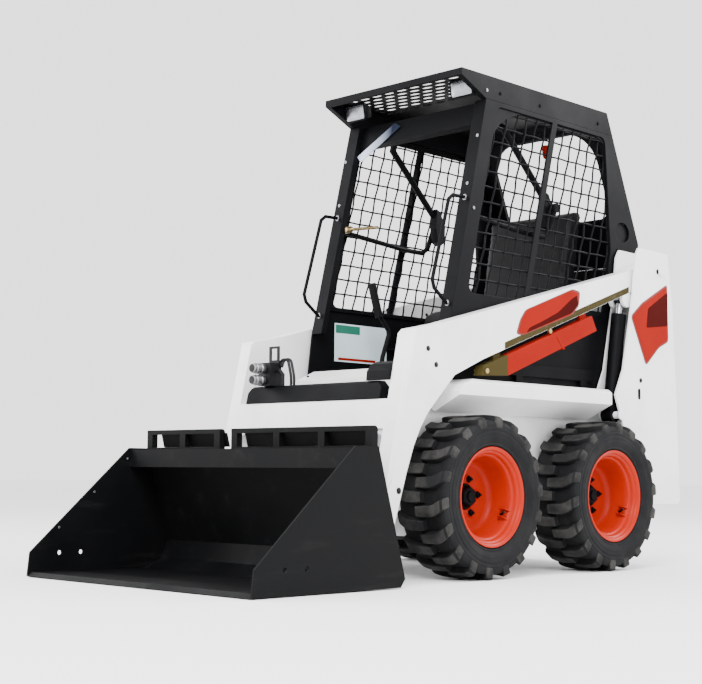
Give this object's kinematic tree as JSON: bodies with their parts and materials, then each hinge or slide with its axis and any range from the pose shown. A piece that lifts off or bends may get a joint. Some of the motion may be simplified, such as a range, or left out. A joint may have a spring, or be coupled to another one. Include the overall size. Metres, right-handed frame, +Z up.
{
  "type": "skid steer loader",
  "caption": "Compact skid steer loader with a mesh-sided cab, radial lift arms pivoted on two rear towers, a low wide bucket, lift and tilt cylinders, a rear door and deep-lugged tyres.",
  "frame": {"origin": "on the ground, under the middle of the machine's length and width", "axes": "+Z up, -Y forwards to the bucket's lip, +X to the operator's left"},
  "size_m": [1.14, 2.412, 1.814],
  "materials": {
    "white_paint": "satin",
    "black_paint": "satin",
    "orange_paint": "satin",
    "rim_paint": "gloss",
    "bucket_paint": "worn satin",
    "dark_steel": "worn",
    "cast_metal": "rough",
    "chrome": "polished",
    "lamp": "gloss",
    "seat_vinyl": "satin",
    "grip_rubber": "matt",
    "tyre": "matt"
  },
  "bodies": {
    "chassis": {"frame_tub": "white_paint", "fender_rails": "white_paint", "side_rails": "black_paint", "tower_left": "white_paint", "tower_right": "white_paint", "door_hinges": "dark_steel", "axle_housings": "black_paint", "engine_block": "cast_metal", "engine_cover": "black_paint", "cab_side_left": "black_paint", "cab_side_right": "black_paint", "side_screens": "black_paint", "cab_roof": "black_paint", "roof_screen": "black_paint", "front_header": "black_paint", "cab_rear_wall": "black_paint", "work_lamps": "lamp", "grab_handles": "black_paint", "seat_bar_rails": "black_paint", "cab_floor": "black_paint", "front_panel": "white_paint", "seat_pan": "black_paint", "seat_cushion": "seat_vinyl", "seat_back": "seat_vinyl", "control_levers": "grip_rubber"},
    "lift_arm": {"arm_left": "white_paint", "arm_right": "white_paint", "arm_crossmember": "white_paint", "step_bar": "black_paint", "hydraulic_block": "dark_steel", "arm_strut": "orange_paint"},
    "bucket": {"quick_coupler": "bucket_paint", "bucket_shell": "bucket_paint", "cutting_edge": "dark_steel"},
    "seat_bar": {"seat_bar": "black_paint"},
    "rear_door": {"rear_door": "white_paint"},
    "tilt_barrel": {"tilt_barrel": "black_paint"},
    "tilt_rod": {"tilt_rod": "chrome"},
    "lift_barrel_left": {"lift_barrel_left": "black_paint"},
    "lift_rod_left": {"lift_rod_left": "chrome"},
    "wheel_front_left": {"rim_front_left": "rim_paint", "tyre_front_left": "tyre"},
    "wheel_rear_left": {"rim_rear_left": "rim_paint", "tyre_rear_left": "tyre"},
    "lift_barrel_right": {"lift_barrel_right": "black_paint"},
    "lift_rod_right": {"lift_rod_right": "chrome"},
    "wheel_front_right": {"rim_front_right": "rim_paint", "tyre_front_right": "tyre"},
    "wheel_rear_right": {"rim_rear_right": "rim_paint", "tyre_rear_right": "tyre"}
  },
  "joints": [
    {"name": "wheel_front_left_spin", "type": "hinge", "parent": "chassis", "child": "wheel_front_left", "pos_m": [0.427, -0.079, 0.28], "axis": [1, 0, 0], "continuous": true},
    {"name": "wheel_rear_left_spin", "type": "hinge", "parent": "chassis", "child": "wheel_rear_left", "pos_m": [0.427, 0.643, 0.28], "axis": [1, 0, 0], "continuous": true},
    {"name": "wheel_front_right_spin", "type": "hinge", "parent": "chassis", "child": "wheel_front_right", "pos_m": [-0.427, -0.079, 0.28], "axis": [1, 0, 0], "continuous": true},
    {"name": "wheel_rear_right_spin", "type": "hinge", "parent": "chassis", "child": "wheel_rear_right", "pos_m": [-0.427, 0.643, 0.28], "axis": [1, 0, 0], "continuous": true},
    {"name": "lift", "type": "hinge", "parent": "chassis", "child": "lift_arm", "pos_m": [0, 1.074, 1.18], "axis": [-1, 0, 0], "range_deg": [0, 72]},
    {"name": "tilt", "type": "hinge", "parent": "lift_arm", "child": "bucket", "pos_m": [0, -0.53, 0.17], "axis": [-1, 0, 0], "range_deg": [-112, 25]},
    {"name": "lift_cylinder_left", "type": "hinge", "parent": "chassis", "child": "lift_barrel_left", "pos_m": [0.405, 0.785, 0.59], "axis": [-1, 0, 0], "range_deg": [-3, 1]},
    {"name": "lift_stroke_left", "type": "slide", "parent": "lift_barrel_left", "child": "lift_rod_left", "axis": [0, 0.1651, 0.9863], "range_m": [0, 0.2947]},
    {"name": "lift_cylinder_right", "type": "hinge", "parent": "chassis", "child": "lift_barrel_right", "pos_m": [-0.405, 0.785, 0.59], "axis": [-1, 0, 0], "range_deg": [-3, 1]},
    {"name": "lift_stroke_right", "type": "slide", "parent": "lift_barrel_right", "child": "lift_rod_right", "axis": [0, 0.1651, 0.9863], "range_m": [0, 0.2947]},
    {"name": "tilt_cylinder", "type": "hinge", "parent": "lift_arm", "child": "tilt_barrel", "pos_m": [0, -0.285, 0.593], "axis": [-1, 0, 0], "range_deg": [-6, 3]},
    {"name": "tilt_stroke", "type": "slide", "parent": "tilt_barrel", "child": "tilt_rod", "axis": [0, -0.6576, -0.7534], "range_m": [-0.0473, 0.206]},
    {"name": "seat_bar_swing", "type": "hinge", "parent": "chassis", "child": "seat_bar", "pos_m": [0, 0.562, 1.388], "axis": [1, 0, 0], "range_deg": [0, 52]},
    {"name": "rear_door_swing", "type": "hinge", "parent": "chassis", "child": "rear_door", "pos_m": [0.341, 1.197, 0.3], "axis": [0, 0.0479, -0.9989], "range_deg": [0, 105]}
  ],
  "couplings": [
    {"joint": "lift_cylinder_left", "follows": "lift", "ratio": -0.02686},
    {"joint": "lift_stroke_left", "follows": "lift", "m_per_rad": 0.23209},
    {"joint": "lift_cylinder_right", "follows": "lift", "ratio": -0.02686},
    {"joint": "lift_stroke_right", "follows": "lift", "m_per_rad": 0.23209},
    {"joint": "tilt_cylinder", "follows": "tilt", "ratio": 0.04423},
    {"joint": "tilt_stroke", "follows": "tilt", "m_per_rad": -0.10383}
  ]
}
